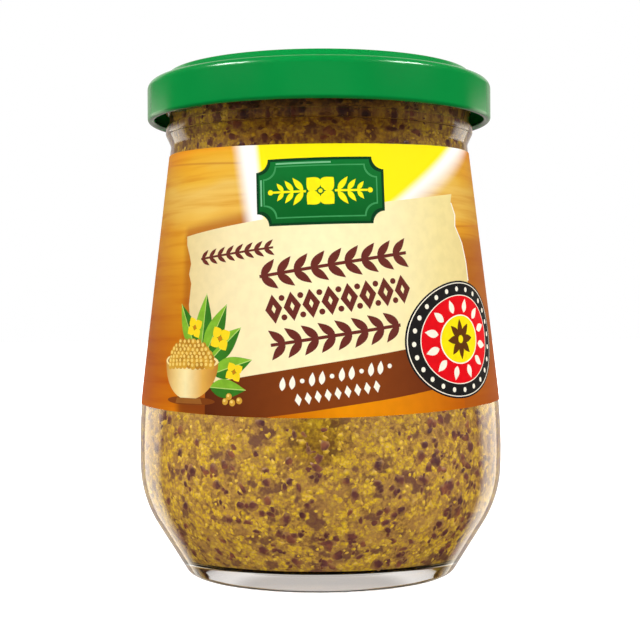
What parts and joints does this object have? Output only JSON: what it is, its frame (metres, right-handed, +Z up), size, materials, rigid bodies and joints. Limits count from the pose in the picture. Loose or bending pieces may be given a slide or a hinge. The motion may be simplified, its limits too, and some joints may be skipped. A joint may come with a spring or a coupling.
{
  "type": "mustard jar",
  "caption": "Shut round glass jar with a tapered body, filled with coarse-grain mustard, with a green twist-off lid and a wrap-round paper label.",
  "frame": {"origin": "centre of the foot, on the surface that the jar stands on", "axes": "+Z up through the lid, -Y out of the middle of the label, +X to the viewer's right when facing the label"},
  "size_m": [0.0722, 0.0722, 0.0991],
  "materials": {
    "glass": "clear flint glass, polished",
    "lid_paint": "glossy green lacquer on tinplate",
    "mustard": "moist coarse paste with yellow seeds and dark husks",
    "label_paper": "semi-gloss printed paper"
  },
  "bodies": {
    "root": {"glass_jar": "glass", "lid": "lid_paint", "mustard": "mustard", "label": "label_paper"}
  },
  "joints": []
}
